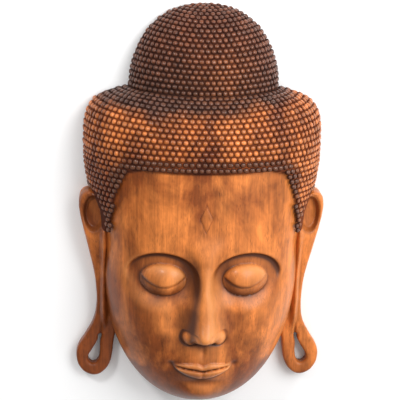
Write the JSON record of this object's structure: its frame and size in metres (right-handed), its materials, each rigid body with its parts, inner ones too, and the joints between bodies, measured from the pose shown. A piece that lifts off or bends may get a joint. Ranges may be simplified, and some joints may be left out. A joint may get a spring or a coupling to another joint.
{
  "type": "carved wooden buddha mask",
  "caption": "Carved wooden wall mask of a calm face with closed eyes, a cap of tight curls, a domed topknot and long pierced ear lobes, hollow behind.",
  "frame": {"origin": "in the flat back plane, under the middle of the mask's box", "axes": "+Y up the head to the topknot, +Z out of the face, +X to the right of someone looking at the face"},
  "size_m": [0.6144, 0.9991, 0.2682],
  "materials": {
    "carved_wood": "oiled and polished, dark stain in the cuts"
  },
  "bodies": {
    "root": {"mask": "carved_wood"}
  },
  "joints": []
}
